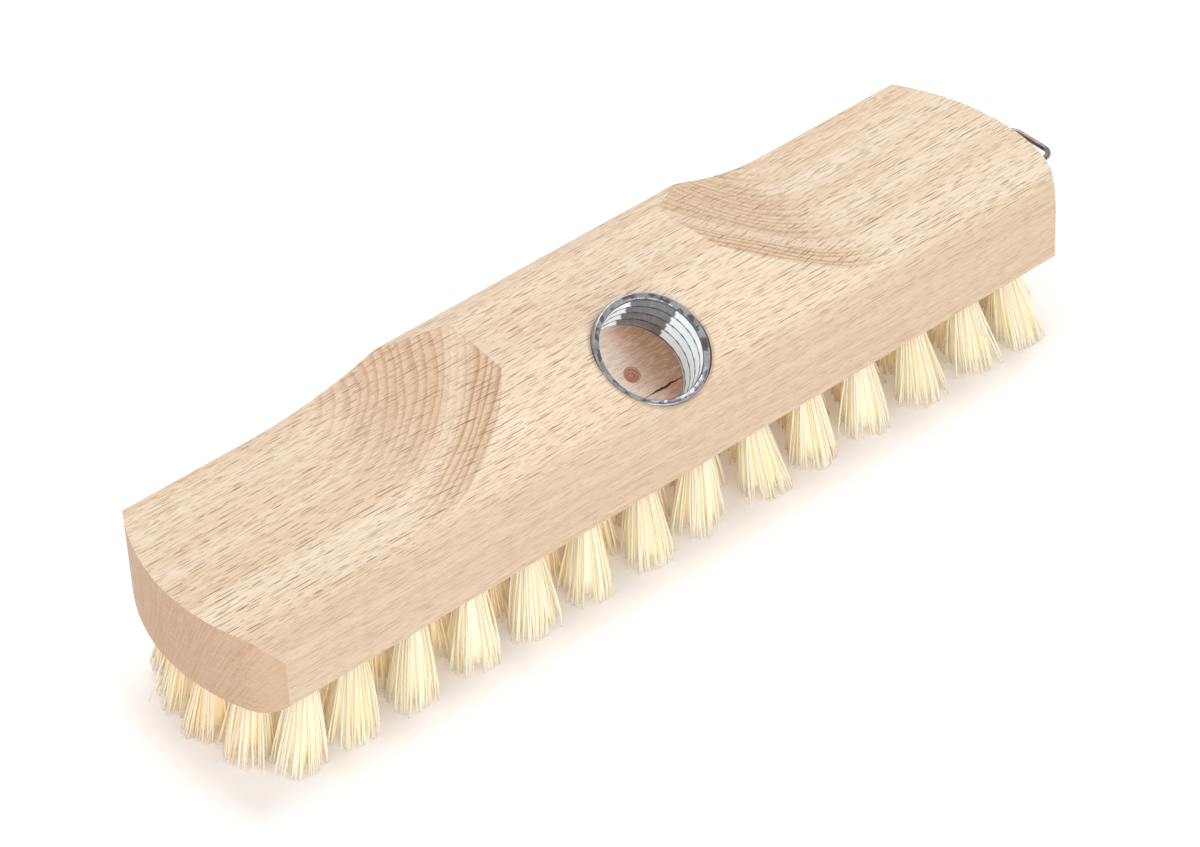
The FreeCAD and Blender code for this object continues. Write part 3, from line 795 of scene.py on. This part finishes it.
def make_socket(material):
    """Threaded sleeve, turned about its leaning axis and drawn with a true helical thread."""
    tilt = Matrix.Rotation(socket_tilt, 3, "X")
    shell = Shell()
    dice = random.Random(7)
    waves = [
        (order, dice.uniform(0, 6.28), dice.uniform(0.008, 0.02) * MM) for order in RIM_WAVES
    ]
    for step in range(SOCKET_STEPS):
        angle = 2 * math.pi * step / SOCKET_STEPS
        dent = -abs(sum(size * math.sin(order * angle + phase) for order, phase, size in waves))
        if abs(angle - SEAM) < math.pi / SOCKET_STEPS:
            dent = -SEAM_NICK
        for radius, height in socket_profile(angle):
            on_rim = height > -FLARE and radius <= RIM - RIM_ROUNDING
            inside = height < -FLARE and radius < RIM - 0.02 * MM
            rim = 1.0 if on_rim and height > -0.5 * MM else 0.0
            wall, shine, line = (1.0, *wall_tones(angle, -height)) if inside else (0.0, 0.0, 0.0)
            if on_rim:
                height += dent
            spot = Vector((radius * math.cos(angle), radius * math.sin(angle), height))
            shell.add(rim_centre + tilt @ spot, rim, wall, shine, line)
    count = len(shell.points) // SOCKET_STEPS
    for step in range(SOCKET_STEPS):
        here, ahead = step * count, (step + 1) % SOCKET_STEPS * count
        for row in range(count - 1):
            shell.faces.append((here + row, ahead + row, ahead + row + 1, here + row + 1))
    labels = ("rim", "wall", "shine", "line")
    piece = new_piece("threaded_sleeve", shell, labels, material)
    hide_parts("handle_socket")


# ---------------------------------------------------------------- object

def dress(node, material):
    for slot in bpy.data.objects[node].material_slots:
        slot.material = material


def dress_part():
    wire_steel = make_steel("wire_steel", (134, 128, 122), 0.08, 0.16).material
    dress("block", make_wood())
    dress("hanging_loop", wire_steel)
    dress("tuft_anchors", wire_steel)
    make_socket(make_sleeve_steel().material)
    fibre = make_fibre_material()
    for node in frame["nodes"]:
        if node.startswith("tuft_rank"):
            make_fibres(node, fibre)


# ---------------------------------------------------------------- stage

WHITE = (1.0, 1.0, 1.0, 1.0)
ZENITH_LIGHT = 0.75
HORIZON_LIGHT = 0.3
FLOOR_HALF = 4.0
FLOOR_GLOW = (0.12, 0.36)
FLOOR_FADE = (-4.0 * MM, 12.0 * MM)
SOFTBOXES = (
    ("softbox_back", (0.45, 0.42, 1.1), (0.9, 0.8), 5.5),
    ("softbox_front", (-0.3, -1.15, 0.24), (1.4, 0.4), 6.2),
    ("softbox_left", (-1.15, -0.1, 0.28), (0.7, 0.4), 1.5),
)


def make_camera():
    """Camera at the photograph's viewing angle."""
    back = Vector((
        math.sin(VIEW_AZIMUTH) * math.cos(VIEW_ELEVATION),
        -math.cos(VIEW_AZIMUTH) * math.cos(VIEW_ELEVATION),
        math.sin(VIEW_ELEVATION),
    ))
    right = (-back).cross(Vector((0, 0, 1))).normalized()
    up = right.cross(-back)
    across = right * math.cos(VIEW_ROLL) + up * math.sin(VIEW_ROLL)
    above = up * math.cos(VIEW_ROLL) - right * math.sin(VIEW_ROLL)
    camera = bpy.data.objects.new("camera", bpy.data.cameras.new("camera"))
    camera.data.lens = LENS
    camera.data.sensor_width = SENSOR_WIDTH
    camera.data.clip_end = 20.0
    turn = Matrix((across, above, back)).transposed().to_4x4()
    camera.matrix_world = Matrix.Translation(VIEW_AIM + back * VIEW_DISTANCE) @ turn
    bpy.context.collection.objects.link(camera)
    bpy.context.scene.camera = camera


def make_floor():
    """Pale paper that shows white, but glows less by the brush, so that its shadow stays."""
    floor = Surface("floor_paper")
    paper = floor.noise(floor.place((400.0, 400.0, 400.0)), detail=1.0)
    floor.shade({
        "Base Color": floor.mix(paper, srgb(249, 244, 243), srgb(251, 247, 246)),
        "Roughness": 0.9,
        "Specular IOR Level": 0.1,
    })
    where = floor.split(floor.position)
    beyond = []
    for axis in range(2):
        past = floor.math("SUBTRACT", floor.math("ABSOLUTE", where[axis]), cad_bounds[1][axis])
        beyond.append(floor.math("MAXIMUM", past, 0.0))
    bright = floor.ramp(floor.hypotenuse(*beyond), *FLOOR_FADE, *FLOOR_GLOW)
    strength = floor.times(floor.background_rays(), bright)
    glow = floor.add("ShaderNodeEmission", {"Color": WHITE, "Strength": strength})
    both = floor.add("ShaderNodeAddShader", {0: floor.shader.outputs[0], 1: glow.outputs[0]})
    floor.feed(floor.nodes["Material Output"].inputs["Surface"], both.outputs[0])

    corners = ((-1, -1), (1, -1), (1, 1), (-1, 1))
    mesh = bpy.data.meshes.new("floor")
    points = [(x * FLOOR_HALF, y * FLOOR_HALF, ground) for x, y in corners]
    mesh.from_pydata(points, [], [(0, 1, 2, 3)])
    mesh.materials.append(floor.material)
    plane = bpy.data.objects.new("floor", mesh)
    bpy.context.collection.objects.link(plane)


def make_world():
    """Studio room, brightest overhead. Camera, gloss and glass see it plain white."""
    world = bpy.data.worlds.new("studio")
    studio = Graph(world)
    height = studio.split(studio.add("ShaderNodeTexCoord").outputs["Generated"])[2]
    light = studio.ramp(height, 0.05, 0.7, HORIZON_LIGHT, ZENITH_LIGHT)
    seen = studio.background_rays()
    strength = studio.add("ShaderNodeMix", {0: seen, 2: light, 3: 1.0}).outputs[0]
    background = studio.nodes["Background"]
    background.inputs["Color"].default_value = WHITE
    studio.feed(background.inputs["Strength"], strength)
    bpy.context.scene.world = world


def add_softbox(name, place, size, power):
    """Large area lamp that faces the part."""
    lamp = bpy.data.objects.new(name, bpy.data.lights.new(name, "AREA"))
    lamp.data.shape = "RECTANGLE"
    lamp.data.size, lamp.data.size_y = size
    lamp.data.energy = power
    lamp.location = place
    lamp.rotation_euler = (Vector(place) - block_base).to_track_quat("Z", "Y").to_euler()
    bpy.context.collection.objects.link(lamp)


dress_part()
make_camera()
make_floor()
make_world()
for softbox in SOFTBOXES:
    add_softbox(*softbox)
bpy.context.scene.view_settings.view_transform = "Standard"
